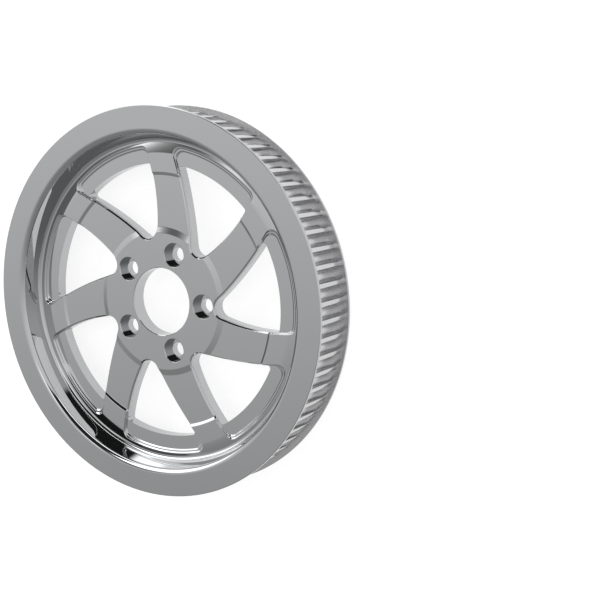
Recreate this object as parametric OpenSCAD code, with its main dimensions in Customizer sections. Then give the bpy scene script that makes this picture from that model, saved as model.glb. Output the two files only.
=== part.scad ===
// Toothed belt pulley, cast and machined in one piece.
// It lies on its back: Z = 0 is the plane of the rear flange face, the axis is Z and
// the show face looks up. The X axis runs through one bolt hole.

/* [Belt track] */
// Number of teeth round the pulley
teeth = 70; // [60:1:80]
// Belt pitch along the pitch line
tooth_pitch = 14; // [13:0.1:15]
// Height of the belt's pitch line above the tooth tips
pitch_line_above_tips = 1.4; // [1:0.05:1.8]
// Depth of a tooth gap below the tips
tooth_depth = 6; // [5:0.1:6.4]
// Width of a tooth gap at its widest
gap_width = 9.8; // [8.5:0.1:10.4]
// Bevel on the edges of each tooth tip
tip_bevel = 0.8; // [0.4:0.1:1.1]
// Clear width between the two flanges
seat_width = 40.8; // [36:0.2:46]

/* [Flanges] */
// Thickness of a flange at its root
flange_thickness = 3; // [2.4:0.1:4]
// Height of the flanges above the tooth tips
flange_height = 4.2; // [3:0.1:6]
// How much a flange thins towards its edge
flange_taper = 0.6; // [0.3:0.1:0.9]
// How far the flanges' inner faces lie back from the ends of the tooth gaps
flange_relief = 0.2; // [0.1:0.1:0.4]
// Bevel on the outer edges of the flange faces
flange_bevel = 0.5; // [0.3:0.1:0.8]

/* [Rim] */
// Metal between the tooth roots and the mouth of the front dish
rim_wall = 8; // [6:0.5:10]
// Depth of the dish from the front face to the web face
dish_depth = 16.9; // [14:0.1:20]
// Rounding where the front face turns into the dish
lip_radius = 4.8; // [2:0.1:6]
// Lean of the dish wall from upright, in degrees
wall_lean = 13.3; // [8:0.1:18]
// Rounding where the dish wall meets the web
cove_radius = 3.4; // [2.5:0.1:5]
// Depth of the gutter at the foot of the dish wall, below the web face
gutter_depth = 1.2; // [0.5:0.1:1.6]
// Width of the gutter's gentle inner side
gutter_width = 9.5; // [8:0.1:11]
// Metal between the tooth roots and the mouth of the rear recess
rear_wall = 7; // [5.5:0.5:9]
// How far the wall of the rear recess leans inwards
rear_lean = 6; // [3:0.5:8]

/* [Web] */
// Thickness of the web under the front ring
web_thickness = 12.4; // [11:0.1:14]
// Plain ring between the bottom of the gutter and the pockets
ring_width = 2.2; // [1.6:0.1:4]
// How far the spokes lie below the ring and the hub face
spoke_drop = 1.2; // [0.8:0.1:2]
// Distance from the pockets' outer circle to the middle of the step down to the spokes
step_setback = 23.2; // [21.5:0.1:27]
// Width of the step down to the spokes
step_width = 2.3; // [1.5:0.1:3.2]
// Radius of the flat hub face
hub_face_radius = 56.5; // [55:0.1:59]
// Width of the bevel round the hub face
hub_bevel_width = 5; // [3:0.1:6]

/* [Spokes] */
// Number of spokes, and of windows between them
spokes = 7; // [6:1:8]
// Width of a spoke along the pockets' outer circle
spoke_rim_width = 24.4; // [18:0.2:29]
// Width of a spoke along the hub face circle
spoke_hub_width = 32.6; // [28:0.2:35]
// Turn of the spokes at the pockets' outer circle
rim_swirl = 1.9; // [-1:0.1:4]
// Turn of the spokes at the hub face circle
hub_swirl = -12.1; // [-15:0.1:-8]
// Radius of the nearly straight side of a window
long_side_radius = 300; // [250:5:400]
// Radius of the curved side of a window
short_side_radius = 155; // [135:5:200]
// Rounding of a window's corner at the hub
hub_corner_radius = 10.3; // [8:0.1:11.5]

/* [Pockets] */
// Depth of the pocket in front of each window
pocket_depth = 2.5; // [2.1:0.1:3.2]
// Width of the sloped edge along a pocket's outer arc
pocket_edge_width = 5.2; // [3:0.1:8]
// Width from the pocket's outer edge to the window
pocket_ledge = 15; // [11:0.5:16]
// How far a window's sides lie inside the pocket's edge
window_inset = 1.6; // [1:0.1:2.4]
// Rounding of the pocket's outer corners
pocket_corner_radius = 6.4; // [5.9:0.1:8]
// Rounding of a window's outer corners
window_corner_radius = 2.4; // [1.5:0.1:4]

/* [Hub] */
// Diameter of the centre bore
bore_diameter = 55.9; // [50:0.1:60]
// Diameter of the bolt circle
bolt_circle = 82.55; // [80:0.05:86]
// Number of bolts
bolts = 5; // [3:1:6]
// Diameter of the bolt holes
bolt_hole = 11.4; // [9:0.1:13]
// Diameter of the counterbores
counterbore = 19.4; // [17:0.1:21]
// Depth of the counterbores
counterbore_depth = 6.2; // [3:0.1:7]
// Height of the mounting pad above the back of the web
pad_height = 0.8; // [0.4:0.1:1.6]
// Width of the mounting pad outside the bolt circle
pad_margin = 9.5; // [7:0.1:10.5]
// Turn of the middle of the first window from the first bolt hole
window_turn = 64; // [0:1:360]

/* [Hidden] */
$fn = 120;

// Belt track
pitch_radius = teeth * tooth_pitch / (2 * PI);
tip_radius = pitch_radius - pitch_line_above_tips;
root_radius = tip_radius - tooth_depth;
flange_radius = tip_radius + flange_height;
rim_width = seat_width + 2 * flange_thickness;

// Levels, measured up from the rear flange face
web_face = rim_width - dish_depth;
spoke_face = web_face - spoke_drop;
web_back = web_face - web_thickness;
pad_face = web_back - pad_height;

// Inner walls of the rim
mouth_radius = root_radius - rim_wall;
wall_height = dish_depth + gutter_depth - (lip_radius + cove_radius) * (1 - sin(wall_lean));
wall_foot = mouth_radius - lip_radius * cos(wall_lean) - wall_height * tan(wall_lean);
gutter_radius = wall_foot - cove_radius * cos(wall_lean);
gutter_start_radius = gutter_radius - gutter_width;
rear_mouth_radius = root_radius - rear_wall;
rear_floor_radius = rear_mouth_radius - rear_lean;

// Web and hub
pocket_radius = gutter_radius - ring_width;
step_outer_radius = pocket_radius - step_setback + step_width / 2;
step_inner_radius = step_outer_radius - step_width;
window_radius = pocket_radius - pocket_ledge;
hub_slope_radius = hub_face_radius + hub_bevel_width;
bore_radius = bore_diameter / 2;
pad_radius = bolt_circle / 2 + pad_margin;

// How far cutting bodies run past the faces that they cut
over = 1;
// Upright step at the edge of a pocket, before its slope starts
pocket_lip = 0.2;
// Steps along a rounding and along a window's outer arc
corner_steps = 6;
arc_steps = 10;

// Point at a radius and an angle from the X axis
function polar(r, a) = [r * cos(a), r * sin(a)];
function angle_of(v) = atan2(v[1], v[0]);
// Angle a raised by full turns until it is past angle b
function past(a, b) = a < b ? past(a + 360, b) : a;
// Points along an arc from angle a to angle b
function arc(centre, r, a, b, steps) =
    [for (i = [0:steps]) centre + polar(r, a + (b - a) * i / steps)];
// One of the two points where two circles meet; side is 1 or -1
function meet(c1, r1, c2, r2, side) =
    let (gap = norm(c2 - c1),
         along = (c2 - c1) / gap,
         a = (r1 * r1 - r2 * r2 + gap * gap) / (2 * gap),
         h = sqrt(r1 * r1 - a * a))
    c1 + a * along + side * h * [-along[1], along[0]];

// Corners of the web's front surface as radius and height, from the hub out to the gutter
web_profile = [[hub_face_radius, web_face], [hub_slope_radius, spoke_face],
               [step_inner_radius, spoke_face], [step_outer_radius, web_face],
               [gutter_start_radius, web_face],
               [gutter_start_radius + 0.3 * gutter_width, web_face - 0.15 * gutter_depth],
               [gutter_start_radius + 0.6 * gutter_width, web_face - 0.45 * gutter_depth],
               [gutter_radius, web_face - gutter_depth]];
// Height of the front surface of the web at a radius
function web_top(r) = lookup(r, web_profile);

// A window lies with its middle on the Y axis. Its two sides are arcs that both bulge
// towards +X, so that the spokes sweep round the hub.
function half_window(spoke_width, r) = 180 / spokes - spoke_width / (2 * r) * 180 / PI;
rim_half = half_window(spoke_rim_width, pocket_radius);
hub_half = half_window(spoke_hub_width, hub_face_radius);
function side_centre(side, r) =
    meet(polar(pocket_radius, 90 + rim_swirl - side * rim_half), r,
         polar(hub_face_radius, 90 + hub_swirl - side * hub_half), r, -1);
long_centre = side_centre(-1, long_side_radius);
short_centre = side_centre(1, short_side_radius);
// Radii at which the sides have points, between the hub corner and the outer corners
side_radii = let (first = hub_slope_radius + 3, run = step_inner_radius - first)
    [first, first + run / 3, first + run * 2 / 3, step_inner_radius, step_outer_radius];

// Outline of a window. Its sides lie inset inside the pocket's edge, and its outer arc
// and outer corners have the radii given.
function outline(inset, outer, corner) =
    let (long = long_side_radius + inset,
         short = short_side_radius - inset,
         small = hub_corner_radius - inset,
         hub = meet(long_centre, long + small, short_centre, short - small, -1),
         left = meet(long_centre, long + corner, [0, 0], outer - corner, 1),
         right = meet(short_centre, short - corner, [0, 0], outer - corner, 1),
         hub_start = past(angle_of(long_centre - hub), 0),
         left_start = angle_of(left),
         last = len(side_radii) - 1)
    concat(
        arc(hub, small, hub_start, past(angle_of(hub - short_centre), hub_start), corner_steps),
        [for (r = side_radii) meet(short_centre, short, [0, 0], r, 1)],
        arc(right, corner, angle_of(right - short_centre), angle_of(right), corner_steps),
        [for (i = [1:arc_steps - 1])
            polar(outer, angle_of(right) + (left_start - angle_of(right)) * i / arc_steps)],
        arc(left, corner, left_start, past(angle_of(long_centre - left), left_start), corner_steps),
        [for (i = [0:last]) meet(long_centre, long, [0, 0], side_radii[last - i], 1)]);

// Points of an outline at a depth below the web's front surface
function sunk(points, depth) = [for (p = points) [p[0], p[1], web_top(norm(p)) - depth]];

// Copies of the children turned round the axis
module round_the_axis(count, turn = 0) {
    for (i = [0:count - 1]) rotate([0, 0, turn + i * 360 / count]) children();
}

// Closed body over a pile of outlines with equal numbers of points, from the top down
module pile(loops) {
    n = len(loops[0]);
    last = len(loops) - 1;
    polyhedron(
        points = [for (loop = loops) each loop],
        faces = concat(
            [[for (i = [n - 1:-1:0]) i]],
            [for (k = [0:last - 1], i = [0:n - 1]) [k * n + i, k * n + (i + 1) % n, (k + 1) * n + i]],
            [for (k = [0:last - 1], i = [0:n - 1])
                [k * n + (i + 1) % n, (k + 1) * n + (i + 1) % n, (k + 1) * n + i]],
            [[for (i = [0:n - 1]) last * n + i]]));
}

// Half section of the rim, web and hub, with the belt track still smooth
module section() {
    low = web_face - gutter_depth + cove_radius;
    last = len(web_profile) - 1;
    high = rim_width - lip_radius;
    polygon(concat(
        [[bore_radius, pad_face], [pad_radius, pad_face], [pad_radius + pad_height, web_back]],
        [[rear_floor_radius, web_back], [rear_mouth_radius, 0]],
        [[flange_radius - flange_bevel, 0], [flange_radius, flange_bevel]],
        [[flange_radius, flange_thickness - flange_taper]],
        [[tip_radius, flange_thickness - flange_relief]],
        [[tip_radius, rim_width - flange_thickness + flange_relief]],
        [[flange_radius, rim_width - flange_thickness + flange_taper]],
        [[flange_radius, rim_width - flange_bevel], [flange_radius - flange_bevel, rim_width]],
        arc([mouth_radius, high], lip_radius, 90, 180 - wall_lean, corner_steps),
        arc([gutter_radius, low], cove_radius, -wall_lean, -90, corner_steps),
        [for (i = [1:last]) web_profile[last - i]],
        [[bore_radius, web_face]]));
}

// Gap between two teeth, with a round bottom and bevelled edges at the tips
module tooth_gap() {
    r = gap_width / 2;
    translate([0, 0, flange_thickness]) linear_extrude(seat_width) {
        translate([root_radius + r, 0]) circle(r, $fn = 32);
        polygon([[root_radius + r, -r], [tip_radius - tip_bevel, -r],
                 [tip_radius + over, -r - tip_bevel - over], [tip_radius + over, r + tip_bevel + over],
                 [tip_radius - tip_bevel, r], [root_radius + r, r]]);
    }
}

// Window through the web, with a shallow pocket round its front end
module window() {
    edge = outline(0, pocket_radius, pocket_corner_radius);
    slope_foot = outline(window_inset * 0.9, pocket_radius - pocket_edge_width, pocket_corner_radius);
    through = outline(window_inset, window_radius, window_corner_radius);
    pile([[for (p = edge) [p[0], p[1], web_face + over]], sunk(edge, pocket_lip),
          sunk(slope_foot, pocket_depth), sunk(through, pocket_depth),
          [for (p = through) [p[0], p[1], web_back - over]]]);
}

// Bolt hole with its counterbore
module bolt_cut() {
    translate([bolt_circle / 2, 0, pad_face - over])
        cylinder(h = web_face - pad_face + 2 * over, d = bolt_hole);
    translate([bolt_circle / 2, 0, web_face - counterbore_depth])
        cylinder(h = counterbore_depth + over, d = counterbore);
}

module pulley() {
    color("silver") difference() {
        rotate_extrude() section();
        // The middle of one tooth lies on the X axis
        round_the_axis(teeth, 180 / teeth) tooth_gap();
        round_the_axis(spokes, window_turn - 90) window();
        round_the_axis(bolts) bolt_cut();
    }
}

pulley();
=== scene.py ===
"""Chrome-plated toothed belt pulley, lying on its back under studio light."""

import math

import bpy
import numpy as np
from bpy.props import FloatProperty, FloatVectorProperty, PointerProperty
from mathutils import Matrix, Vector
from mathutils.geometry import delaunay_2d_cdt


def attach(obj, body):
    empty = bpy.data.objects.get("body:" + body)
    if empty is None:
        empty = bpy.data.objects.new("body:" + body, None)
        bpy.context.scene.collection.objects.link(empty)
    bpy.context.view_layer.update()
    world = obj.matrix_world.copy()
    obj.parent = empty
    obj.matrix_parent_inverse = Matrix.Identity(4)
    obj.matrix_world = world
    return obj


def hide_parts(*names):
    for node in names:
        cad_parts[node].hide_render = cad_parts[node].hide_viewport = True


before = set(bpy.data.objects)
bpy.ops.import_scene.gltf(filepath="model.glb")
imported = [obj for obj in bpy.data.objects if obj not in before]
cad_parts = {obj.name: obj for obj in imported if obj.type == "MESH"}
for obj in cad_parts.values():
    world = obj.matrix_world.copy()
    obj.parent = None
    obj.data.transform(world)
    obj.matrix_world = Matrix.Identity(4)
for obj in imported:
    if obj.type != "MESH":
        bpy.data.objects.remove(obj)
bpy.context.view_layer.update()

bl_info = {
    "name": "Belt pulley",
    "version": (1, 0, 0),
    "blender": (4, 5, 0),
    "location": "View3D > Sidebar > Pulley",
    "description": "Builds a plated belt pulley with its finish, and the studio around it",
    "category": "Object",
}

MM = 0.001
TURN = 2 * math.pi
DEGREES = 180 / math.pi

# Sizes are in millimetres, and those of the solid are as in its CAD source. Faces are given
# by their height above the rear flange face, and round forms by their radius.

# Belt track and flanges
TEETH = 70
TOOTH_DEPTH = 6
TIP = 154.5718
ROOT = TIP - TOOTH_DEPTH
GAP_R = 4.9
TIP_ROUND = 1.0
FLANGE = TIP + 4.2
WIDTH = 46.8
FLANGE_RELIEF = 0.2
FLANGE_ROOT = 2.8
FLANGE_EDGE = 2.4
FLANGE_SLOPE = (FLANGE_ROOT - FLANGE_EDGE) / (FLANGE - TIP)
# Bevel at the inner edge of a flange, and how far its middle lies from the corner
FLANGE_BREAK = 0.3
FLANGE_BULGE = 0.09
FRONT_ROUND = 0.8
REAR_ROUND = 0.5

# Dish, with a gutter at the foot of its wall
MOUTH = ROOT - 8
LIP_R = 4.8
LEAN = math.radians(13.3)
COVE_R = 3.4
GUTTER_DEPTH = 1.2
WALL_HEIGHT = 16.9 + GUTTER_DEPTH - (LIP_R + COVE_R) * (1 - math.sin(LEAN))
GUTTER = MOUTH - (LIP_R + COVE_R) * math.cos(LEAN) - WALL_HEIGHT * math.tan(LEAN)
GUTTER_START = GUTTER - 9.5
GUTTER_SLOPE = math.radians(10.5)
RING = GUTTER - COVE_R * math.sin(GUTTER_SLOPE)
RING_DROP = GUTTER_DEPTH - COVE_R * (1 - math.cos(GUTTER_SLOPE))
RING_CURVE = math.tan(GUTTER_SLOPE) * (RING - GUTTER_START) / RING_DROP

# Faces of the web, and the recess behind it
WEB_FACE = 29.9
SPOKE_FACE = 28.7
WEB_BACK = 17.5
PAD_FACE = 16.7
PAD_R = 50.775
PAD_BEVEL = 0.8
PAD_EASE = 0.1
REAR_MOUTH = ROOT - 7
REAR_FLOOR = REAR_MOUTH - 6
REAR_MOUTH_ROUND = 0.8
REAR_COVE_R = 2.5
REAR_FOOT = REAR_FLOOR - 1.9

# Spokes and windows; angles are in degrees
POCKET = GUTTER - 2.2
POCKET_DEPTH = 2.5
STEP_WIDTH = 2.3
STEP_OUT = POCKET - 23.2 + STEP_WIDTH / 2
STEP_IN = STEP_OUT - STEP_WIDTH
WINDOW = POCKET - 15
HUB_FACE = 56.5
HUB_SLOPE = 61.5
SPOKES = 7
SPOKE_RIM_WIDTH = 24.4
SPOKE_HUB_WIDTH = 32.6
RIM_SWIRL = 1.9
HUB_SWIRL = -12.1
WINDOW_TURN = 64
LONG_R = 300
SHORT_R = 155
HUB_CORNER = 10.3
POCKET_CORNER = 6.4
WINDOW_CORNER = 2.4
WINDOW_INSET = 1.6
BACK_BEVEL = 0.6

# Where the web's front face bends, and by how much; each bend is eased over a short way
HUB_BEVEL = (WEB_FACE - SPOKE_FACE) / (HUB_SLOPE - HUB_FACE)
SPOKE_STEP = (WEB_FACE - SPOKE_FACE) / (STEP_OUT - STEP_IN)
BENDS = ((HUB_FACE, -HUB_BEVEL), (HUB_SLOPE, HUB_BEVEL),
         (STEP_IN, SPOKE_STEP), (STEP_OUT, -SPOKE_STEP))
EASE = 0.35

# Moulding round the ring side of a pocket: two small steps, each starting at a share of the
# moulding's width and taking the same share of it
EDGE_WIDTH = 4.2
EDGE_INSET = WINDOW_INSET * 0.95
STEP_STARTS = (0.08, 0.58)
STEP_SHARE = 0.34
# Chamfer along the spokes: the shares of the width where its rounding ends and where the steep
# wall below it starts, and its depth across the whole width as a share of the pocket's depth
CHAMFER_ROUND = 0.15
CHAMFER_END = 0.8
CHAMFER_DEPTH = 0.62
# Radius where the one turns into the other, and over how many millimetres
EDGE_CHANGE = STEP_OUT + 4
EDGE_CHANGE_WIDTH = 5

# Bore, bolt holes and counterbores, and the small bevel on their edges
BORE = 27.95
BOLTS = 5
BOLT_CIRCLE = 41.275
BOLT_R = 5.7
COUNTERBORE_R = 9.7
COUNTERBORE_DEPTH = 6.2
EDGE_BREAK = 0.4
SLANT = 0.7

# How finely the forms are drawn
GAP_ANGLES = (0, 18, 36, 54, 72, 90)
TIP_ANGLES = (90, 62, 34, 8)
SIDE_MIDDLE = 70
SIDE_COUNTS = (8, 14, 5, 9)
CORNER_STEPS = 16
ARC_STEPS = 48
EDGE_STEPS = 20
RING_POINTS = 360
RING_PHASE = 0.3
GUTTER_CIRCLES = 8
BORE_POINTS = 160
HOLE_POINTS = 64


def unit(v):
    """Rows of v at length 1."""
    v = np.asarray(v, float)
    return v / np.maximum(np.linalg.norm(v, axis=-1, keepdims=True), 1e-12)


def polar(r, degrees):
    """Point at a radius and an angle from the X axis."""
    a = np.radians(degrees)
    return np.stack([r * np.cos(a), r * np.sin(a)], -1)


def reach(points):
    """Distance of points from the pulley's axis."""
    return np.hypot(points[..., 0], points[..., 1])


def heading(v):
    """Angle of a plane vector in degrees."""
    return math.degrees(math.atan2(v[1], v[0]))


def past(angle, start):
    """Angle raised by full turns until it is past start."""
    while angle < start:
        angle += 360
    return angle


def meet(c1, r1, c2, r2, side):
    """One of the two points where two circles meet."""
    c1, c2 = np.asarray(c1, float), np.asarray(c2, float)
    gap = np.linalg.norm(c2 - c1)
    along = (c2 - c1) / gap
    a = (r1 * r1 - r2 * r2 + gap * gap) / (2 * gap)
    h = math.sqrt(r1 * r1 - a * a)
    return c1 + a * along + side * h * np.array([-along[1], along[0]])


def arc(centre, r, start, end, steps):
    """Points along an arc between two angles."""
    return centre + polar(r, np.linspace(start, end, steps + 1))


def circle(centre, r, count, phase=0.0):
    """Points round a whole circle, the first at the phase angle."""
    return np.asarray(centre) + polar(r, phase + np.arange(count) * 360 / count)


def turned(points, degrees):
    """Points turned about the Z axis."""
    a = math.radians(degrees)
    c, s = math.cos(a), math.sin(a)
    out = np.array(points, float)
    x, y = out[..., 0].copy(), out[..., 1].copy()
    out[..., 0], out[..., 1] = c * x - s * y, s * x + c * y
    return out


def smooth(t):
    """Eases from 0 to 1."""
    t = np.clip(t, 0, 1)
    return t * t * (3 - 2 * t)


def gutter_reach(r):
    """How far across the gutter's gentle side a radius lies, from 0 to 1."""
    return np.clip((r - GUTTER_START) / (RING - GUTTER_START), 0, 1)


def web_level(r):
    """Height of the front surface of the web at a radius, without the gutter."""
    level = np.interp(r, [HUB_FACE, HUB_SLOPE, STEP_IN, STEP_OUT],
                      [WEB_FACE, SPOKE_FACE, SPOKE_FACE, WEB_FACE])
    for at, bend in BENDS:
        level = level + bend * np.maximum(EASE - np.abs(r - at), 0) ** 2 / (4 * EASE)
    return level


def web_top(r):
    """Height of the front surface of the web at a radius."""
    return web_level(r) - RING_DROP * gutter_reach(r) ** RING_CURVE


def web_slope(r):
    """Fall of the gutter's gentle side per millimetre of radius."""
    return math.tan(GUTTER_SLOPE) * gutter_reach(r) ** (RING_CURVE - 1)


def web_rise(r):
    """Rise of the front surface of the web per millimetre of radius."""
    places, rises = [], []
    rise = 0
    for at, bend in BENDS:
        places += [at - EASE, at + EASE]
        rises += [rise, rise + bend]
        rise += bend
    return np.interp(r, places, rises) - web_slope(r)


class Skin:
    """Surface patches in millimetres, each with the true normal at every corner."""

    def __init__(self):
        self.points, self.normals, self.faces, self.finish = [], [], [], []
        self.count = 0
        self.slot = 0

    def add(self, points, normals, faces):
        """Adds a patch that takes the material slot set last."""
        self.finish += [self.slot] * len(faces)
        self.points.append(np.asarray(points, float).reshape(-1, 3))
        self.normals.append(unit(np.asarray(normals, float).reshape(-1, 3)))
        self.faces += [tuple(i + self.count for i in f) for f in faces]
        self.count += len(self.points[-1])

    def grid(self, points, normals):
        """Rows of points that each close on themselves, joined row to row."""
        rows, cols = points.shape[:2]
        ids = np.arange(rows * cols).reshape(rows, cols)
        a, b = ids[:-1], ids[1:]
        quads = np.stack([a, np.roll(a, -1, 1), np.roll(b, -1, 1), b], -1).reshape(-1, 4)
        self.add(points, np.broadcast_to(normals, points.shape), quads.tolist())

    def mesh(self, name):
        """Blender mesh in metres, with shared points welded and the normals kept."""
        points = np.concatenate(self.points)
        normals = np.concatenate(self.normals)
        _, first, weld = np.unique(np.round(points, 3), axis=0, return_index=True,
                                   return_inverse=True)
        weld = weld.ravel()
        faces, corner_normals, slots = [], [], []
        for f, slot in zip(self.faces, self.finish):
            keep = [i for k, i in enumerate(f) if weld[i] != weld[f[k - 1]]]
            if len(set(weld[i] for i in keep)) < 3:
                continue
            # A face turns the way its normals point
            p = points[keep]
            turn = np.cross(p - p[0], np.roll(p, -1, 0) - p[0]).sum(0)
            if turn @ normals[keep].sum(0) < 0:
                keep = keep[::-1]
            faces.append([int(weld[i]) for i in keep])
            corner_normals += normals[keep].tolist()
            slots.append(slot)
        mesh = bpy.data.meshes.new(name)
        mesh.from_pydata((points[first] * MM).tolist(), [], faces, shade_flat=False)
        mesh.polygons.foreach_set("material_index", slots)
        mesh.normals_split_custom_set(corner_normals)
        return mesh


def lathe(skin, profile, angles):
    """Revolves rows of (radius, height, radial normal, upright normal)."""
    c, s = np.cos(angles), np.sin(angles)
    profile = np.asarray(profile, float)
    r, z, nr, nz = (profile[:, k, None] for k in range(4))
    one = np.ones_like(c)
    skin.grid(np.stack([r * c, r * s, z * one], -1), np.stack([nr * c, nr * s, nz * one], -1))


def fillet(r, z, radius, start, end, steps):
    """Profile rows along a rounding about (r, z); a radius below 0 makes it hollow.

    The angles run from the outward axis, in degrees.
    """
    sign = 1 if radius > 0 else -1
    rows = []
    for a in np.radians(np.linspace(start, end, steps + 1)):
        rows.append((r + abs(radius) * math.cos(a), z + abs(radius) * math.sin(a),
                     sign * math.cos(a), sign * math.sin(a)))
    return rows


def tooth_outline():
    """Radii, angles and headings of the normals of the points round the belt track."""
    half = []
    for a in np.radians(GAP_ANGLES):
        c, s = math.cos(a), math.sin(a)
        half.append((ROOT + GAP_R - GAP_R * c, GAP_R * s, c, -s))
    for a in np.radians(TIP_ANGLES):
        c, s = math.cos(a), math.sin(a)
        half.append((TIP - TIP_ROUND + TIP_ROUND * c, GAP_R + TIP_ROUND - TIP_ROUND * s, c, -s))
    x, y, nx, ny = np.array(half).T
    pitch = TURN / TEETH
    radius = np.append(np.hypot(x, y), TIP)
    angle = np.append(np.arctan2(y, x), pitch / 2)
    tilt = np.append(np.arctan2(ny, nx), pitch / 2)
    # The second half mirrors the first and stops just before the middle of the next gap
    radius = np.concatenate([radius, radius[-2:0:-1]])
    angle = np.concatenate([angle, pitch - angle[-2:0:-1]])
    tilt = np.concatenate([tilt, pitch - tilt[-2:0:-1]])
    turns = (np.arange(TEETH)[:, None] + 0.5) * pitch
    return np.tile(radius, TEETH), (turns + angle).ravel(), (turns + tilt).ravel()


def belt_track(skin):
    """Teeth and the inner faces of the flanges; gives the angles of the rim's columns."""
    radius, angle, tilt = tooth_outline()
    c, s = np.cos(angle), np.sin(angle)
    low = FLANGE_ROOT + FLANGE_RELIEF * (TIP - radius) / TOOTH_DEPTH
    ends = [np.stack([radius * c, radius * s, z], -1) for z in (low, WIDTH - low)]
    skin.slot = 1
    skin.grid(np.stack(ends), np.stack([np.cos(tilt), np.sin(tilt), np.zeros_like(tilt)], -1))
    # The rim has a column for every second point of the track, so each face of a flange
    # joins three points of the track to two of the flange's edge
    sparse = angle[::2]
    count = len(angle)
    faces = [(k, k + 1, (k + 2) % count, count + (k // 2 + 1) % len(sparse), count + k // 2)
             for k in range(0, count, 2)]
    edge, level = flange_edge()
    for flip, end, z in ((1, ends[0], level), (-1, ends[1], WIDTH - level)):
        outer = np.stack([edge * np.cos(sparse), edge * np.sin(sparse),
                          np.full_like(sparse, z)], -1)
        normals = np.stack([FLANGE_SLOPE * c, FLANGE_SLOPE * s, np.full_like(c, flip)], -1)
        skin.add(np.concatenate([end, outer]), np.concatenate([normals, normals[::2]]), faces)
    skin.slot = 0
    return sparse


def flange_edge():
    """Radius and height of the outer edge of the rear flange's inner face."""
    edge = FLANGE - FLANGE_BREAK
    return edge, FLANGE_ROOT - FLANGE_SLOPE * (edge - TIP)


def rim_walls(skin, angles):
    """Dish wall and front face with its flange edge, then the rear one with its recess."""
    edge, level = flange_edge()
    bulge = FLANGE - FLANGE_BULGE
    lean = math.degrees(LEAN)
    rows = fillet(GUTTER, WEB_FACE - GUTTER_DEPTH + COVE_R, -COVE_R,
                  -90 - math.degrees(GUTTER_SLOPE), -lean, 18)
    rows += fillet(MOUTH, WIDTH - LIP_R, LIP_R, 180 - lean, 90, 16)
    rows += fillet(FLANGE - FRONT_ROUND, WIDTH - FRONT_ROUND, FRONT_ROUND, 90, 0, 6)
    rows += [(FLANGE, WIDTH - level + FLANGE_BREAK, 1, 0),
             (bulge, WIDTH - level + FLANGE_BULGE, SLANT, -SLANT),
             (edge, WIDTH - level, FLANGE_SLOPE, -1)]
    lathe(skin, rows, angles)
    rows = [(edge, level, FLANGE_SLOPE, 1),
            (bulge, level - FLANGE_BULGE, SLANT, SLANT),
            (FLANGE, level - FLANGE_BREAK, 1, 0)]
    rows += fillet(FLANGE - REAR_ROUND, REAR_ROUND, REAR_ROUND, 0, -90, 3)
    wall = math.degrees(math.atan2(REAR_MOUTH - REAR_FLOOR, WEB_BACK))
    rows += fillet(REAR_MOUTH + REAR_MOUTH_ROUND, REAR_MOUTH_ROUND, REAR_MOUTH_ROUND,
                   -90, -180 + wall, 3)
    rows += fillet(REAR_FOOT, WEB_BACK - REAR_COVE_R, -REAR_COVE_R, wall, 90, 5)
    lathe(skin, rows, angles)


def side_centres():
    """Centres of the arcs on a window's two sides, with the window's middle along +Y."""
    def half(width, r):
        return 180 / SPOKES - math.degrees(width / (2 * r))

    rim, hub = half(SPOKE_RIM_WIDTH, POCKET), half(SPOKE_HUB_WIDTH, HUB_FACE)

    def centre(side, r):
        return meet(polar(POCKET, 90 + RIM_SWIRL - side * rim), r,
                    polar(HUB_FACE, 90 + HUB_SWIRL - side * hub), r, -1)

    return centre(-1, LONG_R), centre(1, SHORT_R)


LONG_C, SHORT_C = side_centres()


def side_radii(start, end):
    """Radii of the points along a window's side, close together where the web steps."""
    stops = (start, SIDE_MIDDLE, STEP_IN, STEP_OUT, end)
    spans = [np.linspace(a, b, count)[1:] for a, b, count in zip(stops, stops[1:], SIDE_COUNTS)]
    return np.concatenate(spans)[:-1]


def outline(inset, outer, corner):
    """A window's outline: its sides lie inset inside the pocket's edge."""
    long, short, small = LONG_R + inset, SHORT_R - inset, HUB_CORNER - inset
    origin = np.zeros(2)
    hub = meet(LONG_C, long + small, SHORT_C, short - small, -1)
    left = meet(LONG_C, long + corner, origin, outer - corner, 1)
    right = meet(SHORT_C, short - corner, origin, outer - corner, 1)
    hub_start = past(heading(LONG_C - hub), 0)
    hub_end = past(heading(hub - SHORT_C), hub_start)
    left_start = heading(left)
    left_end = past(heading(LONG_C - left), left_start)
    right_start, right_end = heading(right - SHORT_C), heading(right)
    hub_arc = arc(hub, small, hub_start, hub_end, CORNER_STEPS)
    right_arc = arc(right, corner, right_start, right_end, CORNER_STEPS)
    left_arc = arc(left, corner, left_start, left_end, CORNER_STEPS)
    top = arc(origin, outer, right_end, left_start, ARC_STEPS)[1:-1]
    short_side = [meet(SHORT_C, short, origin, r, 1)
                  for r in side_radii(reach(hub_arc[-1]), reach(right_arc[0]))]
    long_side = [meet(LONG_C, long, origin, r, 1)
                 for r in side_radii(reach(hub_arc[0]), reach(left_arc[-1]))[::-1]]
    return np.concatenate([hub_arc, short_side, right_arc, top, left_arc, long_side])


def grid_normals(points):
    """Normals of a closed grid of points from its neighbours."""
    along = np.roll(points, -1, 1) - np.roll(points, 1, 1)
    down = np.gradient(points, axis=0)
    return unit(np.cross(along, down))


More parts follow.
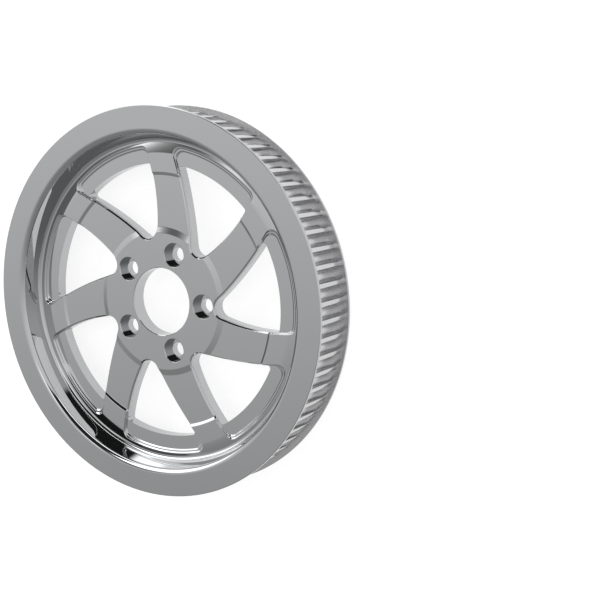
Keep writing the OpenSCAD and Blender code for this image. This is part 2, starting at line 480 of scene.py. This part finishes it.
def pocket_edge(width):
    """Rows of points from a pocket's upper edge down to its floor."""
    edge = outline(0, POCKET, POCKET_CORNER)
    top = web_top(reach(edge))
    foot = outline(EDGE_INSET, POCKET - width, POCKET_CORNER)
    floor = web_level(reach(foot)) - POCKET_DEPTH
    # 0 round the ring, where the moulding is, and 1 along the spokes, where the chamfer is
    spoke = smooth((EDGE_CHANGE - reach(edge)) / EDGE_CHANGE_WIDTH)
    rows = []
    for k in range(EDGE_STEPS + 1):
        t = k / EDGE_STEPS
        at = outline(EDGE_INSET * t, POCKET - width * t, POCKET_CORNER)
        moulding = sum(0.5 * smooth((t - start) / STEP_SHARE) for start in STEP_STARTS)
        if t < CHAMFER_ROUND:
            ramp = t * t / (2 * CHAMFER_ROUND)
        else:
            ramp = t - CHAMFER_ROUND / 2
        wall = 1 - CHAMFER_DEPTH * (1 - CHAMFER_ROUND / 2)
        chamfer = CHAMFER_DEPTH * ramp + wall * smooth((t - CHAMFER_END) / (1 - CHAMFER_END))
        down = moulding * (1 - spoke) + chamfer * spoke
        rows.append(np.column_stack([at, top + (floor - top) * down]))
    return np.stack(rows)


def window_cut(skin, width):
    """Window walls with their pockets; gives the outlines for the web's two faces."""
    pocket = pocket_edge(width)
    plan = outline(WINDOW_INSET, WINDOW, WINDOW_CORNER)
    lip = np.column_stack([plan, web_level(reach(plan)) - POCKET_DEPTH])
    foot = np.column_stack([plan, np.full(len(plan), WEB_BACK + BACK_BEVEL)])
    back = outline(WINDOW_INSET - BACK_BEVEL, WINDOW + BACK_BEVEL, WINDOW_CORNER + BACK_BEVEL)
    back = np.column_stack([back, np.full(len(back), WEB_BACK)])
    floor, wall, bevel = np.stack([pocket[-1], lip]), np.stack([lip, foot]), np.stack([foot, back])
    # The pocket's upper edge takes the slope of the web that it cuts
    normals = grid_normals(pocket)
    r = reach(pocket[0])
    outward = pocket[0][:, :2] / r[:, None]
    normals[0] = np.column_stack([outward * web_slope(r)[:, None], np.ones_like(r)])
    patches = ((pocket, normals), (floor, (0.0, 0.0, 1.0)),
               (wall, grid_normals(wall)), (bevel, grid_normals(bevel)))
    turns = [WINDOW_TURN + k * 360 / SPOKES - 90 for k in range(SPOKES)]
    for turn in turns:
        for points, directions in patches:
            skin.grid(turned(points, turn), turned(directions, turn))
    return ([turned(pocket[0], turn)[:, :2] for turn in turns],
            [turned(back, turn)[:, :2] for turn in turns])


def inside(points, loop):
    """Whether points of the plane lie inside a closed loop."""
    x, y = points[:, 0:1], points[:, 1:2]
    a, b = loop, np.roll(loop, -1, 0)
    spans = (a[:, 1] > y) != (b[:, 1] > y)
    run = np.where(b[:, 1] == a[:, 1], 1e-12, b[:, 1] - a[:, 1])
    cross = x < (b[:, 0] - a[:, 0]) * (y - a[:, 1]) / run + a[:, 0]
    return (np.sum(spans & cross, 1) % 2) == 1


def fill(rim, rings, holes, loose=()):
    """Triangles over the plane within the rim and outside the holes.

    Rings are circles that the triangles keep to, and loose points are corners to use.
    """
    coords, edges = [Vector(p) for p in loose], []
    for loop in [rim] + rings + holes:
        start = len(coords)
        coords += [Vector(p) for p in loop]
        edges += [(start + i, start + (i + 1) % len(loop)) for i in range(len(loop))]
    verts, _, tris, _, _, _ = delaunay_2d_cdt(coords, edges, [], 0, 1e-4)
    verts = np.array([tuple(v) for v in verts])
    tris = np.array([t for t in tris if len(t) == 3])
    middle = verts[tris].mean(1)
    keep = inside(middle, rim)
    for hole in holes:
        keep &= ~inside(middle, hole)
    return verts, tris[keep]


def add_faces(skin, verts, tris, height, rise, side):
    """Lifts plane triangles to a face's height, with the normals of its slope."""
    corners = verts[tris]
    r = reach(corners)
    z = height(r)
    lean = -side * rise(r) / r
    normals = np.stack([lean * corners[..., 0], lean * corners[..., 1],
                        np.full_like(z, side)], -1)
    points = np.concatenate([corners, z[..., None]], -1).reshape(-1, 3)
    skin.add(points, normals.reshape(-1, 3), np.arange(len(points)).reshape(-1, 3).tolist())


def hole_rims(bolt_r):
    """Circles round the bolt holes and the bore, where their broken edges meet a face."""
    centres = [polar(BOLT_CIRCLE, k * 360 / BOLTS) for k in range(BOLTS)]
    return ([circle(at, bolt_r + EDGE_BREAK, HOLE_POINTS) for at in centres]
            + [circle((0, 0), BORE + EDGE_BREAK, BORE_POINTS)])


def gutter_points(windows):
    """Points over the gutter's gentle side, clear of the pockets."""
    margin, clearance, stagger = 0.8, 0.6, 0.17
    radii = np.linspace(GUTTER_START, RING - margin, GUTTER_CIRCLES)
    points = np.concatenate([circle((0, 0), r, RING_POINTS, stagger * k)
                             for k, r in enumerate(radii)])
    clear = np.ones(len(points), bool)
    for window in windows:
        gap = np.linalg.norm(points[:, None] - window[None], axis=2).min(1)
        clear &= ~inside(points, window) & (gap > clearance)
    return points[clear]


def web_front(skin, angles, windows):
    """Front face of the web and hub between the windows and holes."""
    rings = [circle((0, 0), at + shift, RING_POINTS, RING_PHASE)
             for at, _ in BENDS for shift in (-EASE, 0, EASE)]
    flat = fill(polar(RING, np.degrees(angles)), rings, windows + hole_rims(COUNTERBORE_R),
                gutter_points(windows))
    add_faces(skin, *flat, web_top, web_rise, 1)


def web_back(skin, angles, windows):
    """Back face of the web, with the mounting pad round the bore."""
    foot = PAD_R + PAD_BEVEL
    radii = (PAD_R - PAD_EASE, PAD_R, foot, foot + PAD_EASE)

    def height(r):
        return np.interp(r, [PAD_R, foot], [PAD_FACE, WEB_BACK])

    def rise(r):
        return np.interp(r, radii, [0, 1, 1, 0])

    rings = [circle((0, 0), r, RING_POINTS, RING_PHASE) for r in radii]
    flat = fill(polar(REAR_FOOT, np.degrees(angles)), rings, windows + hole_rims(BOLT_R))
    add_faces(skin, *flat, height, rise, -1)


def bored(skin, centre, rows, count):
    """Round hole about a centre from rows of (radius, height, radial and upright normal)."""
    part = Skin()
    lathe(part, rows, np.arange(count) * TURN / count)
    points = np.concatenate(part.points)
    points[:, :2] += centre
    skin.add(points, np.concatenate(part.normals), part.faces)


def round_holes(skin):
    """Bore, bolt holes and counterbores, with their edges broken."""
    top, bottom = WEB_FACE - EDGE_BREAK, PAD_FACE + EDGE_BREAK
    for rows in (
            ((BORE + EDGE_BREAK, WEB_FACE, -SLANT, SLANT), (BORE, top, -SLANT, SLANT)),
            ((BORE, top, -1, 0), (BORE, bottom, -1, 0)),
            ((BORE, bottom, -SLANT, -SLANT), (BORE + EDGE_BREAK, PAD_FACE, -SLANT, -SLANT))):
        bored(skin, (0, 0), rows, BORE_POINTS)
    seat = WEB_FACE - COUNTERBORE_DEPTH
    small = 0.2
    bulge = 0.12
    for k in range(BOLTS):
        for rows in (
                ((COUNTERBORE_R + EDGE_BREAK, WEB_FACE, 0, 1),
                 (COUNTERBORE_R + bulge, WEB_FACE - bulge, -SLANT, SLANT),
                 (COUNTERBORE_R, top, -1, 0), (COUNTERBORE_R, seat, -1, 0)),
                ((COUNTERBORE_R, seat, 0, 1), (BOLT_R + small, seat, 0, 1)),
                ((BOLT_R + small, seat, 0, 1), (BOLT_R, seat - small, -1, 0),
                 (BOLT_R, bottom, -1, 0), (BOLT_R + EDGE_BREAK, PAD_FACE, -SLANT, -SLANT))):
            bored(skin, polar(BOLT_CIRCLE, k * 360 / BOLTS), rows, HOLE_POINTS)


def linear(code):
    """Linear colour of an sRGB hex value."""
    values = [int(code[i:i + 2], 16) / 255 for i in (1, 3, 5)]
    return tuple(v / 12.92 if v <= 0.04045 else ((v + 0.055) / 1.055) ** 2.4
                 for v in values) + (1.0,)


def add_node(tree, kind, inputs=None, **settings):
    """Adds a node, sets its properties, and sets or links its inputs."""
    node = tree.nodes.new(kind)
    for key, value in settings.items():
        setattr(node, key, value)
    for key, value in (inputs or {}).items():
        if isinstance(value, bpy.types.NodeSocket):
            tree.links.new(value, node.inputs[key])
        else:
            node.inputs[key].default_value = value
    return node


def new_material(name, color):
    """Material in one colour, with its node tree and its shader."""
    material = bpy.data.materials.new(name)
    material.use_nodes = True
    shader = material.node_tree.nodes["Principled BSDF"]
    shader.inputs["Base Color"].default_value = color
    return material, material.node_tree, shader


def make_metal(tree, shader, rough, bump):
    """Makes a shader metallic, and takes its roughness and relief from two nodes."""
    shader.inputs["Metallic"].default_value = 1.0
    tree.links.new(rough.outputs["Result"], shader.inputs["Roughness"])
    tree.links.new(bump.outputs["Normal"], shader.inputs["Normal"])


def polished_chrome_plate(color, roughness):
    """Bright chromium over polished cast aluminium.

    The eye gets a grey mirror with clean bright and black bands. Polishing by hand leaves
    it a touch uneven: a haze that comes and goes over some 25 mm, and waves a few
    thousandths of a millimetre high, 18 mm apart, that bend the reflections a little.
    """
    material, tree, shader = new_material("polished_chrome_plate", color)
    place = add_node(tree, "ShaderNodeTexCoord").outputs["Object"]
    haze = add_node(tree, "ShaderNodeTexNoise", {
        "Vector": place, "Scale": 1 / (25 * MM), "Detail": 4.0})
    rough = add_node(tree, "ShaderNodeMapRange", {
        "Value": haze.outputs["Fac"], "From Min": 0.35, "From Max": 0.7,
        "To Min": roughness, "To Max": roughness + 0.03})
    waves = add_node(tree, "ShaderNodeTexNoise", {
        "Vector": place, "Scale": 1 / (18 * MM), "Detail": 1.0})
    bump = add_node(tree, "ShaderNodeBump", {
        "Height": waves.outputs["Fac"], "Distance": 0.006 * MM})
    make_metal(tree, shader, rough, bump)
    return material


def satin_chrome_plate(color, roughness):
    """Chromium over teeth that were cut and not polished.

    The eye gets soft, paler reflections with fine lines along the teeth, as the cutter left
    them. The real lines are some 0.2 mm apart, and they are drawn 0.9 mm apart to show.
    """
    material, tree, shader = new_material("satin_chrome_plate", color)
    place = add_node(tree, "ShaderNodeTexCoord").outputs["Object"]
    along = add_node(tree, "ShaderNodeMapping", {"Vector": place, "Scale": (1, 1, 0.03)})
    lines = add_node(tree, "ShaderNodeTexNoise", {
        "Vector": along.outputs["Vector"], "Scale": 1 / (0.9 * MM), "Detail": 3.0})
    rough = add_node(tree, "ShaderNodeMapRange", {
        "Value": lines.outputs["Fac"], "From Min": 0.3, "From Max": 0.7,
        "To Min": roughness - 0.04, "To Max": roughness + 0.06})
    bump = add_node(tree, "ShaderNodeBump", {
        "Height": lines.outputs["Fac"], "Distance": 0.012 * MM})
    make_metal(tree, shader, rough, bump)
    return material


def pale_paper(color, glow):
    """Matt paper.

    The eye gets plain white with the pulley's soft shadow, because a glow lifts the paper
    where it is looked at, straight or in a mirror.
    """
    material, tree, shader = new_material("pale_paper", color)
    shader.inputs["Roughness"].default_value = 0.9
    shader.inputs["Specular IOR Level"].default_value = 0.0
    rays = add_node(tree, "ShaderNodeLightPath").outputs
    seen = rays["Is Camera Ray"]
    for ray in ("Is Glossy Ray", "Is Transmission Ray"):
        seen = add_node(tree, "ShaderNodeMath", {0: seen, 1: rays[ray]},
                        operation="MAXIMUM").outputs[0]
    strength = add_node(tree, "ShaderNodeMath", {0: seen, 1: glow}, operation="MULTIPLY")
    light = add_node(tree, "ShaderNodeEmission", {
        "Color": (1, 1, 1, 1), "Strength": strength.outputs[0]})
    both = add_node(tree, "ShaderNodeAddShader", {0: shader.outputs[0], 1: light.outputs[0]})
    tree.links.new(both.outputs[0], tree.nodes["Material Output"].inputs["Surface"])
    return material


# Panels of the studio: azimuth from and to, elevation from and to, softness, brightness.
# Angles are in degrees, and a later panel stands in front of the earlier ones.
PANELS = (
    (112, 165, -90, 47, 4, 2.4),
    (114, 140, 28, 47, 4, 4.2),
    (60, 112, 67, 81, 4, 1.9),
    (105, 177, 50, 60, 4, 0.22),
    (125, 172, 62, 66.5, 1.5, 1.4),
    (100, 137, 50, 64.5, 2, 0.03),
    (56, 119, -90, 62, 3, 0.03),
    (56, 119, 0, 10, 4, 3.2),
    (174, 205, -90, 22, 5, 0.2),
)
# Brightness of the sky on the -Y side and on the +Y side, and where it changes
SKY_LOW, SKY_HIGH = 0.35, 1.0
SKY_FROM, SKY_TO = -0.7, 0.3


def studio_sky(strength):
    """Grey studio, paler towards +Y, with soft white and black panels round it."""
    world = bpy.data.worlds.new("studio_sky")
    world.use_nodes = True
    tree = world.node_tree
    place = add_node(tree, "ShaderNodeTexCoord").outputs["Generated"]
    axes = add_node(tree, "ShaderNodeSeparateXYZ", {0: place}).outputs
    turn = add_node(tree, "ShaderNodeMath", {0: axes["Y"], 1: axes["X"]}, operation="ARCTAN2")
    turn = add_node(tree, "ShaderNodeMath", {0: turn.outputs[0], 1: DEGREES},
                    operation="MULTIPLY")
    # Azimuths run from 0 to 360
    turn = add_node(tree, "ShaderNodeMath", {0: turn.outputs[0], 1: 360},
                    operation="FLOORED_MODULO")
    height = add_node(tree, "ShaderNodeMath", {0: axes["Z"]}, operation="ARCSINE")
    height = add_node(tree, "ShaderNodeMath", {0: height.outputs[0], 1: DEGREES},
                      operation="MULTIPLY")
    sky = add_node(tree, "ShaderNodeMapRange", {
        "Value": axes["Y"], "From Min": SKY_FROM, "From Max": SKY_TO,
        "To Min": SKY_LOW, "To Max": SKY_HIGH}, interpolation_type="SMOOTHSTEP")
    light = sky.outputs["Result"]
    for left, right, low, high, soft, level in PANELS:
        mask = 1.0
        for angle, edge, step in ((turn, left, soft), (turn, right, -soft),
                                  (height, low, soft), (height, high, -soft)):
            side = add_node(tree, "ShaderNodeMapRange", {
                "Value": angle.outputs[0], "From Min": edge - step, "From Max": edge + step},
                interpolation_type="SMOOTHSTEP")
            mask = add_node(tree, "ShaderNodeMath", {0: side.outputs["Result"], 1: mask},
                            operation="MULTIPLY").outputs[0]
        light = add_node(tree, "ShaderNodeMix", {
            "Factor": mask, "A": light, "B": level}).outputs["Result"]
    background = tree.nodes["Background"]
    tree.links.new(light, background.inputs["Color"])
    background.inputs["Strength"].default_value = strength
    return world


# The floor lies just under the pulley's rear face, in metres
FLOOR_GAP = 0.0002
# Where the camera stands, in metres, and its right, up and back
CAMERA_PLACE = (0.55262, 0.15949, 0.76069)
CAMERA_AXES = ((0.86463, 0.01705, -0.50211),
               (-0.09953, 0.98543, -0.13793),
               (0.49244, 0.16923, 0.85373))


def lay_floor(scene, settings):
    """Square paper floor."""
    size = settings.floor_size / 2
    mesh = bpy.data.meshes.new("studio_floor")
    mesh.from_pydata([(-size, -size, 0), (size, -size, 0), (size, size, 0), (-size, size, 0)],
                     [], [(0, 1, 2, 3)])
    floor = bpy.data.objects.new("studio_floor", mesh)
    floor.location.z = -FLOOR_GAP
    scene.collection.objects.link(floor)
    floor.data.materials.append(pale_paper(settings.floor_color, settings.floor_glow))


def set_camera(scene, focal_length):
    """Camera that looks down on the show face."""
    camera = bpy.data.objects.new("camera", bpy.data.cameras.new("camera"))
    camera.data.lens = focal_length
    camera.data.sensor_width = 36
    camera.data.clip_start = 0.01
    turn = Matrix(CAMERA_AXES).transposed().to_4x4()
    camera.matrix_world = Matrix.Translation(Vector(CAMERA_PLACE)) @ turn
    scene.collection.objects.link(camera)
    scene.camera = camera


class PulleySizes(bpy.types.PropertyGroup):
    """Finish of the pulley, and the width of its mouldings"""
    color: FloatVectorProperty(
        name="Chrome colour", description="Colour of the polished plating",
        subtype="COLOR", size=4, min=0, max=1, default=linear("#B8B9BA"))
    roughness: FloatProperty(
        name="Chrome roughness", description="Roughness of the polished plating",
        default=0.012, min=0, max=1, subtype="FACTOR")
    track_color: FloatVectorProperty(
        name="Belt track colour", description="Colour of the toothed track",
        subtype="COLOR", size=4, min=0, max=1, default=linear("#CDCDCE"))
    track_roughness: FloatProperty(
        name="Belt track roughness", description="Roughness of the toothed track",
        default=0.22, min=0, max=1, subtype="FACTOR")
    moulding_width: FloatProperty(
        name="Moulding width", description="Width of the moulding round each pocket",
        default=EDGE_WIDTH * MM, min=0.002, max=0.006, unit="LENGTH")


class StudioSettings(bpy.types.PropertyGroup):
    """Floor, sky and camera"""
    floor_color: FloatVectorProperty(
        name="Floor colour", description="Colour of the paper floor",
        subtype="COLOR", size=4, min=0, max=1, default=linear("#B4B4B4"))
    floor_size: FloatProperty(
        name="Floor size", description="Side of the square floor",
        default=60.0, min=1, unit="LENGTH")
    floor_glow: FloatProperty(
        name="Floor glow", description="Light that lifts the floor to white",
        default=0.78, min=0, max=1, subtype="FACTOR")
    world_strength: FloatProperty(
        name="Sky strength", description="Strength of the studio's light",
        default=1.0, min=0, max=10)
    focal_length: FloatProperty(
        name="Focal length", description="Focal length of the camera in mm",
        default=67.75, min=20, max=300)


class OBJECT_OT_pulley_body(bpy.types.Operator):
    """Build the plated pulley in place of its plain solid"""
    bl_idname = "object.pulley_body"
    bl_label = "Pulley"

    def execute(self, context):
        sizes = context.scene.pulley_sizes
        skin = Skin()
        angles = belt_track(skin)
        rim_walls(skin, angles)
        fronts, backs = window_cut(skin, sizes.moulding_width / MM)
        web_front(skin, angles, fronts)
        web_back(skin, angles, backs)
        round_holes(skin)
        piece = bpy.data.objects.new("plated_pulley", skin.mesh("plated_pulley"))
        context.scene.collection.objects.link(piece)
        piece.data.materials.append(polished_chrome_plate(sizes.color, sizes.roughness))
        piece.data.materials.append(
            satin_chrome_plate(sizes.track_color, sizes.track_roughness))
        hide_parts("pulley")
        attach(piece, "root")
        return {"FINISHED"}


class OBJECT_OT_pulley_studio(bpy.types.Operator):
    """Set up the floor, the sky and the camera"""
    bl_idname = "object.pulley_studio"
    bl_label = "Studio"

    def execute(self, context):
        scene = context.scene
        settings = scene.pulley_studio
        scene.view_settings.view_transform = "Standard"
        lay_floor(scene, settings)
        scene.world = studio_sky(settings.world_strength)
        set_camera(scene, settings.focal_length)
        return {"FINISHED"}


class VIEW3D_PT_pulley(bpy.types.Panel):
    """Settings of the pulley and its studio, with the buttons that build them"""
    bl_label = "Belt pulley"
    bl_idname = "VIEW3D_PT_pulley"
    bl_space_type = "VIEW_3D"
    bl_region_type = "UI"
    bl_category = "Pulley"

    def draw(self, context):
        layout = self.layout
        for group, operator in (("pulley_sizes", "object.pulley_body"),
                                ("pulley_studio", "object.pulley_studio")):
            settings = getattr(context.scene, group)
            for name in settings.__annotations__:
                layout.prop(settings, name)
            layout.operator(operator)


CLASSES = (PulleySizes, StudioSettings, OBJECT_OT_pulley_body, OBJECT_OT_pulley_studio,
           VIEW3D_PT_pulley)


def register():
    for cls in CLASSES:
        bpy.utils.register_class(cls)
    bpy.types.Scene.pulley_sizes = PointerProperty(type=PulleySizes)
    bpy.types.Scene.pulley_studio = PointerProperty(type=StudioSettings)


def unregister():
    del bpy.types.Scene.pulley_studio
    del bpy.types.Scene.pulley_sizes
    for cls in reversed(CLASSES):
        bpy.utils.unregister_class(cls)


def main():
    register()
    bpy.ops.object.pulley_body()
    bpy.ops.object.pulley_studio()


if __name__ == "__main__":
    main()
